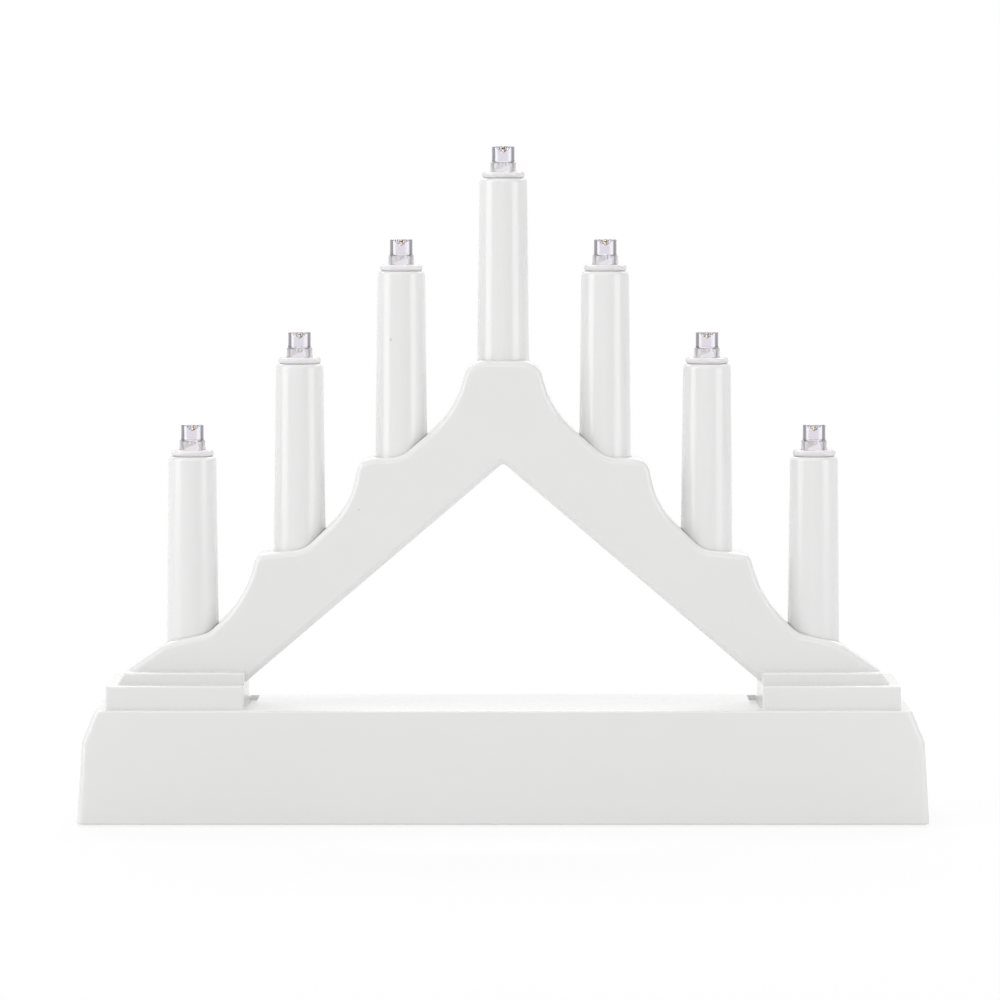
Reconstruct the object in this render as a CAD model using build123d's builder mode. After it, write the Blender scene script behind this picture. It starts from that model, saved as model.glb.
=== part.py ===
"""Battery candle arch: a hollow base, a clip-in arch moulded in two halves, and seven candles with LEDs.

Millimetres, +Z up. X runs along the base, the front of the arch faces -Y.
The origin is on the standing surface, under the middle of the base.
"""
import math
import os

from build123d import *

os.makedirs("parts", exist_ok=True)

# ----------------------------------------------------------------------------
# Driving dimensions
# ----------------------------------------------------------------------------
# Base housing: an upside-down tray with drafted walls and bevelled shoulders
base_top_margin = 2.3  # from the foot's outer end to the end of the top face
base_bevel_run = 2.8
base_bevel_height = 6.8
base_side_draft = 1.05  # how far the ends lean out from the shoulders to the rim
base_depth_draft = 1.0
base_wall = 2.0
base_end_radius = 1.5  # upright edges between the faces and the ends
base_top_radius = 0.5
base_rim_radius = 0.4

# Foot pads that carry the rim just clear of the surface
pad_stand_off = 0.4
pad_diameter = 8.0
pad_end_inset = 23.75  # from the rim's end to the pad's middle
pad_side_inset = 8.5

# Bottom plate, sunk a little above the rim
plate_recess = 1.0
plate_thickness = 2.4
plate_gap = 0.25

# Screws that hold the bottom plate to the housing
screw_diameter = 2.6
screw_head_diameter = 5.0
screw_head_height = 1.5
screw_head_sink = 0.9
screw_length = 9.0
screw_hole_gap = 0.05
screw_boss_wall = 1.6
screw_end_inset = 8.25  # from the rim's end to the screw's middle
screw_side_inset = 8.5

# Two AA cells side by side
cell_diameter = 14.2
cell_length = 50.5  # over the nub
cell_nub_diameter = 5.2
cell_nub_height = 1.3
cell_edge_radius = 0.5
cell_gap = 0.7
cell_clearance = 0.3

# Cell tray on the bottom plate, and its contacts
tray_wall = 1.2
tray_side_gap = 0.45
tray_wall_gap = 1.8  # between the tray and the housing's side walls, at the rim
contact_thickness = 0.4
contact_play = 0.1
contact_width = 10.5
contact_height = 11.0
contact_corner_radius = 1.2
contact_tab_width = 3.0
contact_tab_rise = 1.8  # above the tray's ceiling
contact_tab_gap = 2.1  # between the tabs and the ceiling of the housing
tab_slot_gap = 0.2
spring_length = 4.6
spring_wire_diameter = 0.6
spring_large_radius = 3.6
spring_small_radius = 2.4
spring_turns = 4

# Battery door, flush with the bottom plate
door_thickness = 1.6
door_gap = 0.3
door_side_margin = 0.6  # ledge that the door's long edges rest on
door_ear = 5.4  # length of the screw ears past the tray's end walls
door_corner_radius = 2.0
door_screw_diameter = 2.2
door_screw_head_diameter = 4.2
door_screw_head_height = 1.0
door_screw_length = 8.0
door_screw_inset = 2.8
door_screw_boss_radius = 2.3
door_screw_boss_height = 8.0
grip_rib_count = 4
grip_rib_pitch = 2.0
grip_rib_length = 12.0
grip_rib_width = 0.8
grip_rib_height = 0.4

# Circuit board with the slide switch on its rear edge
board_tray_gap = 8.6
board_width = 16.0
board_front_y = -10.0
board_rear_gap = 0.8  # to the housing's rear wall
board_thickness = 1.2
board_z = 11.0
board_screw_diameter = 2.0
board_screw_head_diameter = 3.8
board_screw_head_height = 1.2
board_screw_length = 6.0
board_boss_radius = 2.2
board_boss_inner = (2.4, 0.0)  # x from the board's inner edge, then y
board_boss_outer = (13.4, 9.0)
chip_size = (4.9, 3.9, 1.5)
chip_place = (8.4, -1.5)
resistor_size = (3.2, 1.6, 0.6)
resistor_place = (8.4, 3.6)
resistor_pitch = 2.8

# Slide switch
switch_width = 8.6
switch_depth = 4.4
switch_height = 4.7
switch_wall_gap = 0.6
switch_shell = 0.3
knob_width = 3.2
knob_height = 2.4
knob_stem_height = 1.5
knob_proud = 1.2  # past the floor of the thumb recess
knob_travel = 3.0
knob_gap = 0.3
thumb_recess_width = 14.0
thumb_recess_height = 6.4
thumb_recess_depth = 0.8

# Arch: where it stands and how thick it is
arch_y = -3.0
arch_thickness = 14.0
arch_wall = 1.7
arch_edge_radius = 1.4
seam_chamfer = 0.12  # on the edges where the two halves meet

# Triangle under the arch
triangle_height = 52.8  # from the base's top to the apex
triangle_apex_reach = 0.75

# Two steps at each foot
foot_inner_reach = 11.6  # from the outermost candle's middle to the foot's inner end
foot_outer_reach = 18.1
lower_step_height = 5.2
lower_step_depth = 29.0
upper_step_height = 2.5
upper_step_depth = 21.0
upper_step_inset = 2.1
upper_step_draft = 1.7
step_edge_radius = 0.45

# Candles, from the middle outwards, and how each stands lower than the last
candle_pitch_inner = 22.1
candle_pitch_middle = 22.1
candle_pitch_outer = 23.3
candle_drop = 20.1
lowest_seat_height = 14.7  # outermost seats, above the base's top
candle_sink = 1.35  # how deep the candle's shoulder sits in its pocket
candle_length = 40.65  # from the shoulder to the mouth
candle_top_diameter = 10.4
candle_bottom_diameter = 11.3
candle_bore_diameter = 7.4
candle_rim_radius = 0.9
candle_spigot_diameter = 9.2
candle_spigot_length = 6.65
socket_gap = 0.15
socket_wall = 1.1
socket_floor = 1.4
socket_wire_hole_diameter = 5.2

# Scalloped upper edge. Each seat slopes a little outwards to a rounded shoulder, and from there the edge
# drops to a knee and sweeps out to the toe of the next seat. A reach is the length of straight edge that a
# rounding takes on either side of its corner; falls, drops, sinks and rises are from the seat's own level.
top_shoulder = 7.5
top_shoulder_reach = 3.45
top_knee_run = 3.1
top_knee_drop = 11.25
top_knee_reach = 6.8
high_toe_inset = -0.1
high_toe_sink = 0.8
high_shoulder = 9.15
high_shoulder_fall = 1.05
high_shoulder_reach = 3.1
high_knee_run = 1.8
high_knee_drop = 11.35
high_knee_reach = 6.1
middle_toe_inset = 1.2
middle_toe_sink = 0.6
toe_reach = 2.2
middle_shoulder = 9.15
middle_shoulder_fall = 1.75
middle_shoulder_reach = 1.55
middle_knee_run = 2.65
middle_knee_drop = 11.5
middle_knee_reach = 7.05
low_toe_inset = 3.7
low_toe_rise = 1.25
low_toe_reach = 1.5
low_shoulder = 4.9
low_shoulder_fall = 0.65
low_shoulder_reach = 1.5

# Pegs that join the two halves of the arch
peg_diameter = 2.4
peg_length = 3.0
peg_gap = 0.05
peg_boss_radius = 2.6
peg_depth_gap = 0.4
leg_peg_height = 7.2  # above the line that the wires follow

# Plug and snap tongue under each foot, and their openings in the base
plug_inner_inset = 4.2  # from the foot's inner end
plug_outer_inset = 5.2  # from the foot's outer end
plug_depth = 10.0
plug_length = 7.0
plug_wall = 1.4
plug_gap = 0.2
tongue_setback = 0.8  # from the foot's inner end
tongue_thickness = 1.5
tongue_reach = 8.0  # each half of the arch carries this much of the tongue's width
tongue_barb = 1.2
tongue_barb_height = 2.5
tongue_barb_gap = 0.1
tongue_gap = 0.2
slot_lead = 2.0  # what shows of the slot inside the foot
slot_depth = 1.0
slot_corner_radius = 0.6
slot_front_inset = 7.5  # from the edge of the base's top
slot_rear_inset = 2.5

# LED seat, a clear collar pushed into the candle's mouth
collar_diameter = 9.3
collar_height = 1.4
collar_edge_radius = 0.6
collar_spigot_gap = 0.1
collar_spigot_length = 6.0
collar_bore_diameter = 4.0

# Five millimetre LED with a hollow cone in its flat top
led_diameter = 5.0
led_height = 5.5
led_foot_diameter = 5.65
led_foot_height = 2.0
led_foot_slope = 0.15
led_edge_radius = 0.35
led_cone_diameter = 3.6
led_cone_depth = 1.5

# Lead frame inside the LED
lead_pitch = 2.54
lead_thickness = 0.5
lead_length = 14.0
frame_top = 1.75
anvil_end = 0.45
anvil_underside = 1.25
anvil_root = 0.4
post_inner = 0.75
post_underside = 1.35
post_root = 1.0
cup_offset = -0.1  # from the LED's axis
cup_diameter = 1.0
cup_height = 0.5
bowl_top_diameter = 0.8
bowl_bottom_diameter = 0.45
bowl_depth = 0.3

# Wiring
wire_diameter = 1.1
joint_diameter = 2.1
wire_line_rise = 3.8  # above the inner edge of the arch's legs
wire_riser_offset = 3.0  # from the outermost candle to where the wires climb into the foot
wire_bend_radius = 3.5
wire_board_bend_radius = 2.0
wire_run_height = 4.2  # level run, above the board's underside
wire_board_inset = 3.0
lead_straight = 2.5
lead_merge = 7.5
lead_bend_radius = 8.0
cell_wire_run = 9.0
cell_wire_bend_radius = 2.6

# ----------------------------------------------------------------------------
# Heights and places worked out from the driving dimensions
# ----------------------------------------------------------------------------
rim_z = pad_stand_off
plate_bottom_z = rim_z + plate_recess
plate_top_z = plate_bottom_z + plate_thickness
door_top_z = plate_bottom_z + door_thickness

cell_half_pitch = (cell_diameter + cell_gap) / 2
cell_z = door_top_z + cell_clearance + cell_diameter / 2
tray_half_length = (cell_length + spring_length + 2 * contact_thickness + contact_play) / 2
tray_half_width = cell_half_pitch + cell_diameter / 2 + tray_side_gap
tray_ceiling_z = cell_z + cell_diameter / 2 + cell_clearance
tray_top_z = tray_ceiling_z + tray_wall
door_half_length = tray_half_length + tray_wall + door_ear
door_half_width = tray_half_width + door_side_margin
door_screw_x = door_half_length - door_screw_inset
tab_top_z = tray_top_z + contact_tab_rise

# The base is as deep and as high as its tray of cells needs
base_ceiling_z = tab_top_z + contact_tab_gap
base_top_z = base_ceiling_z + base_wall
base_height = base_top_z - rim_z
base_shoulder_height = base_height - base_bevel_height
base_bottom_depth = 2 * (tray_half_width + tray_wall + tray_wall_gap + base_wall)

seat_x = [
    0.0,
    candle_pitch_inner,
    candle_pitch_inner + candle_pitch_middle,
    candle_pitch_inner + candle_pitch_middle + candle_pitch_outer,
]
seat_z = [base_top_z + lowest_seat_height + candle_drop * (3 - step) for step in range(4)]
# The seven candles from left to right, as (x, z of the pocket's floor)
candle_seats = [(-seat_x[step], seat_z[step] - candle_sink) for step in (3, 2, 1)]
candle_seats += [(seat_x[step], seat_z[step] - candle_sink) for step in (0, 1, 2, 3)]
collar_top_rise = candle_length + collar_height  # from a pocket's floor to the top of its collar

arch_plane = Plane.XZ.offset(-arch_y)
half_arch = arch_thickness / 2
foot_inner_x = seat_x[3] - foot_inner_reach
foot_outer_x = seat_x[3] + foot_outer_reach
lower_step_top_z = base_top_z + lower_step_height
upper_step_top_z = lower_step_top_z + upper_step_height
upper_step_bottom_x = foot_outer_x - upper_step_inset
upper_step_top_x = upper_step_bottom_x - upper_step_draft
apex_z = base_top_z + triangle_height
leg_slope = (apex_z - lower_step_top_z) / foot_inner_x

base_top_width = 2 * (foot_outer_x + base_top_margin)
base_shoulder_width = base_top_width + 2 * base_bevel_run
base_bottom_width = base_shoulder_width + 2 * base_side_draft
base_top_depth = base_bottom_depth - 2 * base_depth_draft
pad_x = base_bottom_width / 2 - pad_end_inset
pad_y = base_bottom_depth / 2 - pad_side_inset
screw_x = base_bottom_width / 2 - screw_end_inset
screw_y = base_bottom_depth / 2 - screw_side_inset

plug_inner_x = foot_inner_x + plug_inner_inset
plug_outer_x = foot_outer_x - plug_outer_inset
slot_front_y = slot_front_inset - base_top_depth / 2
slot_rear_y = base_top_depth / 2 - slot_rear_inset
wire_riser_x = seat_x[3] + wire_riser_offset

board_inner_x = tray_half_length + board_tray_gap
board_top_z = board_z + board_thickness
board_outer_x = board_inner_x + board_width
switch_x = board_inner_x + board_width / 2
knob_z = board_top_z + switch_height / 2


def base_half_width(height):
    """Half of the housing's width at a height above its rim."""
    if height <= base_shoulder_height:
        share = height / base_shoulder_height
        return (base_bottom_width + (base_shoulder_width - base_bottom_width) * share) / 2
    share = (height - base_shoulder_height) / (base_height - base_shoulder_height)
    return (base_shoulder_width + (base_top_width - base_shoulder_width) * share) / 2


def base_half_depth(height):
    """Half of the housing's depth at a height above its rim."""
    share = height / base_height
    return (base_bottom_depth + (base_top_depth - base_bottom_depth) * share) / 2


def wire_line_z(x):
    """Height of the wires' line along the arch's legs, before its bends are rounded."""
    return apex_z - abs(x) * leg_slope + wire_line_rise


def wire_joint_z(x):
    """Height at which a candle's drop meets the run; the run is bent round under the middle candle."""
    bend_loss = wire_bend_radius * (math.hypot(1, leg_slope) - 1) if x == 0 else 0
    return wire_line_z(x) - bend_loss


rear_wall_y = base_half_depth(knob_z - rim_z)  # outer face of the rear wall beside the switch
board_rear_y = base_half_depth(board_z - rim_z) - base_wall - board_rear_gap
switch_rear_y = rear_wall_y - base_wall - switch_wall_gap
slot_inner_x = foot_inner_x - slot_lead
tongue_inner_x = foot_inner_x + tongue_setback
tongue_outer_x = tongue_inner_x + tongue_thickness


# ----------------------------------------------------------------------------
# Base
# ----------------------------------------------------------------------------
def base_block(inset, bottom_z):
    """The housing's drafted block, drawn in by inset on every side but the bottom."""
    foot = bottom_z - rim_z
    shoulder = base_shoulder_height
    with BuildPart() as block:
        with BuildSketch(Plane.XZ) as front_view:
            with BuildLine():
                Polyline(
                    (-base_half_width(foot) + inset, bottom_z),
                    (base_half_width(foot) - inset, bottom_z),
                    (base_half_width(shoulder) - inset, rim_z + shoulder),
                    (base_half_width(base_height - inset) - inset, base_top_z - inset),
                    (-base_half_width(base_height - inset) + inset, base_top_z - inset),
                    (-base_half_width(shoulder) + inset, rim_z + shoulder),
                    close=True,
                )
            make_face()
        extrude(amount=base_bottom_depth, both=True)
        with BuildSketch(Plane.YZ) as end_view:
            with BuildLine():
                Polyline(
                    (-base_half_depth(foot) + inset, bottom_z),
                    (base_half_depth(foot) - inset, bottom_z),
                    (base_half_depth(base_height - inset) - inset, base_top_z - inset),
                    (-base_half_depth(base_height - inset) + inset, base_top_z - inset),
                    close=True,
                )
            make_face()
        extrude(amount=base_bottom_width, both=True, mode=Mode.INTERSECT)
    return block


housing_block = base_block(0, rim_z)
housing_hollow = base_block(base_wall, rim_z)

boss_radius = screw_diameter / 2 + screw_boss_wall
board_bosses = [
    (board_inner_x + board_boss_inner[0], board_boss_inner[1]),
    (board_inner_x + board_boss_outer[0], board_boss_outer[1]),
]

with BuildPart() as base_housing:
    add(housing_block.part)
    upright_edges = base_housing.edges().filter_by(
        lambda edge: abs(edge.center().X) > base_top_width / 2 - 1
        and abs(edge.center().Y) > base_top_depth / 2 - 1
        and edge.length > 1
        and abs(edge.center().Z - base_top_z) > 1
        and abs(edge.center().Z - rim_z) > 1
    )
    fillet(upright_edges, radius=base_end_radius)
    fillet(base_housing.faces().sort_by(Axis.Z)[-1].edges(), radius=base_top_radius)
    fillet(base_housing.faces().sort_by(Axis.Z)[0].edges(), radius=base_rim_radius)
    add(housing_hollow.part, mode=Mode.SUBTRACT)
    # Bosses for the bottom plate's screws
    with BuildSketch(Plane.XY.offset(plate_top_z)):
        with GridLocations(2 * screw_x, 2 * screw_y, 2, 2):
            Circle(boss_radius)
    extrude(until=Until.LAST, target=housing_block.part)
    # Bosses that the circuit board hangs from
    with BuildSketch(Plane.XY.offset(board_top_z)):
        with Locations(*board_bosses):
            Circle(board_boss_radius)
    extrude(amount=base_ceiling_z - board_top_z + base_wall / 2)
    with BuildSketch(Plane.XY.offset(plate_top_z)):
        with GridLocations(2 * screw_x, 2 * screw_y, 2, 2):
            Circle(screw_diameter / 2 + screw_hole_gap)
    extrude(amount=screw_length, mode=Mode.SUBTRACT)
    with BuildSketch(Plane.XY.offset(board_top_z)):
        with Locations(*board_bosses):
            Circle(board_screw_diameter / 2 + screw_hole_gap)
    extrude(amount=board_screw_length, mode=Mode.SUBTRACT)
    # Openings in the top for each foot's plug and snap tongue
    opening_inner_x = tongue_inner_x - tongue_gap
    with BuildSketch(Plane.XY.offset(base_top_z)):
        for side in (-1, 1):
            with Locations((side * (plug_inner_x + plug_outer_x) / 2, arch_y)):
                Rectangle(plug_outer_x - plug_inner_x + 2 * plug_gap, plug_depth + 2 * plug_gap)
            with Locations((side * (opening_inner_x + plug_inner_x) / 2, arch_y)):
                Rectangle(plug_inner_x - opening_inner_x, 2 * (tongue_reach + tongue_gap))
    extrude(amount=-base_wall, mode=Mode.SUBTRACT)
    # Shallow slots beside the feet; their floors hold the barbs of the tongues
    with BuildSketch(Plane.XY.offset(base_top_z)):
        with Locations(
            *[
                (side * (slot_inner_x + foot_inner_x) / 2, (slot_front_y + slot_rear_y) / 2)
                for side in (-1, 1)
            ]
        ):
            RectangleRounded(
                foot_inner_x - slot_inner_x, slot_rear_y - slot_front_y, slot_corner_radius
            )
    extrude(amount=-slot_depth, mode=Mode.SUBTRACT)
    # Thumb recess and window for the switch
    recess_y = rear_wall_y - thumb_recess_depth
    with BuildSketch(Plane.XZ.offset(-recess_y)):
        with Locations((switch_x, knob_z)):
            SlotOverall(thumb_recess_width, thumb_recess_height)
    extrude(amount=-base_wall, mode=Mode.SUBTRACT)
    with BuildSketch(Plane.XZ.offset(-recess_y)):
        with Locations((switch_x, knob_z)):
            Rectangle(knob_width + knob_travel + 2 * knob_gap, knob_height + 2 * knob_gap)
    extrude(amount=base_wall, both=True, mode=Mode.SUBTRACT)

with BuildPart() as bottom_plate:
    fit_height = plate_top_z - rim_z
    plate_length = 2 * (base_half_width(fit_height) - base_wall - plate_gap)
    plate_width = 2 * (base_half_depth(fit_height) - base_wall - plate_gap)
    with BuildSketch(Plane.XY.offset(plate_bottom_z)):
        Rectangle(plate_length, plate_width)
    extrude(amount=plate_thickness)
    # Cell tray: a box open downwards
    with BuildSketch(Plane.XY.offset(plate_bottom_z)):
        Rectangle(2 * (tray_half_length + tray_wall), 2 * (tray_half_width + tray_wall))
    extrude(amount=tray_top_z - plate_bottom_z)
    with BuildSketch(Plane.XY.offset(plate_bottom_z)):
        with GridLocations(2 * door_screw_x, 0, 2, 1):
            Circle(door_screw_boss_radius)
    extrude(amount=door_screw_boss_height)
    with BuildSketch(Plane.XY.offset(plate_bottom_z)):
        Rectangle(2 * tray_half_length, 2 * tray_half_width)
    extrude(amount=tray_ceiling_z - plate_bottom_z, mode=Mode.SUBTRACT)
    # Ridge under the ceiling, between the two cells
    with BuildSketch(Plane.XY.offset(tray_ceiling_z)):
        Rectangle(cell_length, tray_wall)
    extrude(amount=-cell_diameter / 5)
    # Rebate for the door
    with BuildSketch(Plane.XY.offset(plate_bottom_z)):
        RectangleRounded(
            2 * (door_half_length + door_gap), 2 * (door_half_width + door_gap), door_corner_radius + door_gap
        )
    extrude(amount=door_thickness, mode=Mode.SUBTRACT)
    # Slots for the contacts' solder tabs
    with BuildSketch(Plane.XY.offset(tray_ceiling_z)):
        with Locations(
            (tray_half_length - contact_thickness / 2, -cell_half_pitch),
            (tray_half_length - contact_thickness / 2, cell_half_pitch),
        ):
            Rectangle(contact_thickness + tab_slot_gap, contact_tab_width + 2 * tab_slot_gap)
    extrude(amount=tray_wall, mode=Mode.SUBTRACT)
    # Screw holes
    with BuildSketch(Plane.XY.offset(plate_bottom_z)):
        with GridLocations(2 * screw_x, 2 * screw_y, 2, 2):
            Circle(screw_diameter / 2 + screw_hole_gap)
        with GridLocations(2 * door_screw_x, 0, 2, 1):
            Circle(door_screw_diameter / 2 + screw_hole_gap)
    extrude(amount=door_screw_boss_height, mode=Mode.SUBTRACT)
    with BuildSketch(Plane.XY.offset(plate_bottom_z)):
        with GridLocations(2 * screw_x, 2 * screw_y, 2, 2):
            Circle(screw_head_diameter / 2 + plate_gap)
    extrude(amount=screw_head_sink, mode=Mode.SUBTRACT)

with BuildPart() as battery_door:
    with BuildSketch(Plane.XY.offset(plate_bottom_z)):
        RectangleRounded(2 * door_half_length, 2 * door_half_width, door_corner_radius)
    extrude(amount=door_thickness)
    # Grip ribs stand above the floor of a shallow recess, level with the door's face
    rib_field = grip_rib_count * grip_rib_pitch + grip_rib_width
    with BuildSketch(Plane.XY.offset(plate_bottom_z)):
        with Locations((door_half_length / 2, 0)):
            Rectangle(rib_field, grip_rib_length)
    extrude(amount=grip_rib_height, mode=Mode.SUBTRACT)
    with BuildSketch(Plane.XY.offset(plate_bottom_z)):
        with Locations((door_half_length / 2, 0)):
            with GridLocations(grip_rib_pitch, 0, grip_rib_count, 1):
                Rectangle(grip_rib_width, grip_rib_length)
    extrude(amount=grip_rib_height)
    with BuildSketch(Plane.XY.offset(plate_bottom_z)):
        with GridLocations(2 * door_screw_x, 0, 2, 1):
            Circle(door_screw_diameter / 2 + screw_hole_gap)
    extrude(amount=door_thickness, mode=Mode.SUBTRACT)
    with BuildSketch(Plane.XY.offset(plate_bottom_z)):
        with GridLocations(2 * door_screw_x, 0, 2, 1):
            Circle(door_screw_head_diameter / 2 + screw_hole_gap)
    extrude(amount=door_screw_head_height, mode=Mode.SUBTRACT)

with BuildPart() as foot_pads:
    with BuildSketch():
        with GridLocations(2 * pad_x, 2 * pad_y, 2, 2):
            Circle(pad_diameter / 2)
    extrude(amount=plate_bottom_z)


def screw_set(places, head_z, head_diameter, head_height, shank_diameter, shank_length):
    """Pan-head screws driven upwards from head_z, each with a cross recess."""
    with BuildPart() as screws:
        with BuildSketch(Plane.XY.offset(head_z)):
            with Locations(*places):
                Circle(head_diameter / 2)
        extrude(amount=head_height)
        fillet(screws.faces().group_by(Axis.Z)[0].edges(), radius=head_height / 4)
        with BuildSketch(Plane.XY.offset(head_z + head_height)):
            with Locations(*places):
                Circle(shank_diameter / 2)
        extrude(amount=shank_length - head_height)
        with BuildSketch(Plane.XY.offset(head_z)):
            with Locations(*places):
                Rectangle(head_diameter * 0.6, head_diameter * 0.14)
                Rectangle(head_diameter * 0.14, head_diameter * 0.6)
        extrude(amount=head_height / 2, mode=Mode.SUBTRACT)
    return screws


plate_screw_places = [(x, y) for x in (-screw_x, screw_x) for y in (-screw_y, screw_y)]
plate_screw_head_z = plate_bottom_z + screw_head_sink - screw_head_height
plate_screws = screw_set(
    plate_screw_places, plate_screw_head_z, screw_head_diameter, screw_head_height, screw_diameter, screw_length
)
door_screws = screw_set(
    [(-door_screw_x, 0), (door_screw_x, 0)],
    plate_bottom_z,
    door_screw_head_diameter,
    door_screw_head_height,
    door_screw_diameter,
    door_screw_length,
)
board_screws = screw_set(
    board_bosses,
    board_z - board_screw_head_height,
    board_screw_head_diameter,
    board_screw_head_height,
    board_screw_diameter,
    board_screw_length,
)


# ----------------------------------------------------------------------------
# Cells and contacts
# ----------------------------------------------------------------------------
def dry_cell(y, toward):
    """An AA cell along X whose nub points to +X (toward = 1) or -X (toward = -1)."""
    flat_end = -toward * (tray_half_length - contact_thickness - spring_length)
    nub_end = flat_end + toward * cell_length
    shoulder = nub_end - toward * cell_nub_height
    with BuildPart() as cell:
        with BuildSketch(Plane.YZ.offset(flat_end)):
            with Locations((y, cell_z)):
                Circle(cell_diameter / 2)
        extrude(amount=shoulder - flat_end)
        fillet(cell.edges().filter_by(GeomType.CIRCLE), radius=cell_edge_radius)
        with BuildSketch(Plane.YZ.offset(shoulder)):
            with Locations((y, cell_z)):
                Circle(cell_nub_diameter / 2)
        extrude(amount=nub_end - shoulder)
    return cell


def contact_spring(y, end):
    """A conical coil that starts on the contact at the tray's end (end = 1 or -1)."""
    root = end * (tray_half_length - contact_thickness - spring_wire_diameter / 3)
    rise = spring_length - spring_wire_diameter
    cone = math.degrees(math.atan((spring_large_radius - spring_small_radius) / rise))
    with BuildPart() as coil:
        with BuildLine() as path:
            Helix(
                pitch=rise / spring_turns,
                height=rise,
                radius=spring_large_radius,
                center=(root, y, cell_z),
                direction=(-end, 0, 0),
                cone_angle=-cone,
            )
        with BuildSketch(Plane(origin=path.line @ 0, z_dir=path.line % 0)):
            Circle(spring_wire_diameter / 2)
        sweep(path=path.line)
    return coil


def contact_plate(y, end, width, with_tab):
    """A flat contact against the tray's end wall, with a solder tab through the ceiling if asked."""
    face = end * tray_half_length
    with BuildPart() as plate:
        with BuildSketch(Plane.YZ.offset(face)):
            with Locations((y, cell_z)):
                RectangleRounded(width, contact_height, contact_corner_radius)
        extrude(amount=-end * contact_thickness)
        if with_tab:
            with BuildSketch(Plane.YZ.offset(face)):
                with Locations((y, (cell_z + tab_top_z) / 2)):
                    Rectangle(contact_tab_width, tab_top_z - cell_z)
            extrude(amount=-end * contact_thickness)
    return plate


battery_front = dry_cell(-cell_half_pitch, 1)
battery_rear = dry_cell(cell_half_pitch, -1)

positive_contact = contact_plate(-cell_half_pitch, 1, contact_width, True)

negative_plate = contact_plate(cell_half_pitch, 1, contact_width, True)
negative_coil = contact_spring(cell_half_pitch, 1)
with BuildPart() as negative_contact:
    add(negative_plate.part)
    add(negative_coil.part)

bridge_plate = contact_plate(0, -1, 2 * cell_half_pitch + contact_width, False)
bridge_coil = contact_spring(-cell_half_pitch, -1)
with BuildPart() as bridge_contact:
    add(bridge_plate.part)
    add(bridge_coil.part)

# ----------------------------------------------------------------------------
# Circuit board and switch
# ----------------------------------------------------------------------------
with BuildPart() as circuit_board:
    with BuildSketch(Plane.XY.offset(board_z)):
        with Locations((switch_x, (board_front_y + board_rear_y) / 2)):
            RectangleRounded(board_width, board_rear_y - board_front_y, 1.0)
    extrude(amount=board_thickness)
    with BuildSketch(Plane.XY.offset(board_z)):
        with Locations(*board_bosses):
            Circle(board_screw_diameter / 2 + screw_hole_gap)
    extrude(amount=board_thickness, mode=Mode.SUBTRACT)

with BuildPart() as board_parts:
    with BuildSketch(Plane.XY.offset(board_top_z)):
        with Locations((board_inner_x + chip_place[0], chip_place[1])):
            Rectangle(chip_size[0], chip_size[1])
    extrude(amount=chip_size[2])
    with BuildSketch(Plane.XY.offset(board_top_z)):
        with Locations((board_inner_x + resistor_place[0], resistor_place[1] + resistor_pitch / 2)):
            with GridLocations(0, resistor_pitch, 1, 2):
                Rectangle(resistor_size[0], resistor_size[1])
    extrude(amount=resistor_size[2])

switch_y = switch_rear_y - switch_depth / 2
with BuildPart() as switch_body:
    with BuildSketch(Plane.XY.offset(board_top_z)):
        with Locations((switch_x, switch_y)):
            Rectangle(switch_width, switch_depth)
    extrude(amount=switch_height)
    fillet(switch_body.edges().filter_by(Axis.Y), radius=switch_shell)
    # Channel that the knob's stem runs in, open to the rear
    with BuildSketch(Plane.XZ.offset(-switch_rear_y)):
        with Locations((switch_x, knob_z)):
            Rectangle(knob_width + knob_travel + 2 * knob_gap, knob_stem_height + 2 * knob_gap)
    extrude(amount=switch_depth - 2 * switch_shell, mode=Mode.SUBTRACT)

# The knob rests at the OFF end of its travel, nearer the middle of the base
knob_rest_x = switch_x - knob_travel / 2
with BuildPart() as switch_knob:
    stem_inner_y = switch_rear_y - switch_depth / 2
    with BuildSketch(Plane.XZ.offset(-switch_rear_y + -knob_gap)):
        with Locations((knob_rest_x, knob_z)):
            Rectangle(knob_width, knob_height)
    extrude(amount=-(rear_wall_y - thumb_recess_depth + knob_proud - switch_rear_y - knob_gap))
    fillet(switch_knob.faces().sort_by(Axis.Y)[-1].edges(), radius=0.3)
    with BuildSketch(Plane.XZ.offset(-stem_inner_y)):
        with Locations((knob_rest_x, knob_z)):
            Rectangle(knob_width, knob_stem_height)
    extrude(amount=-(switch_rear_y + knob_gap - stem_inner_y))


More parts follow.
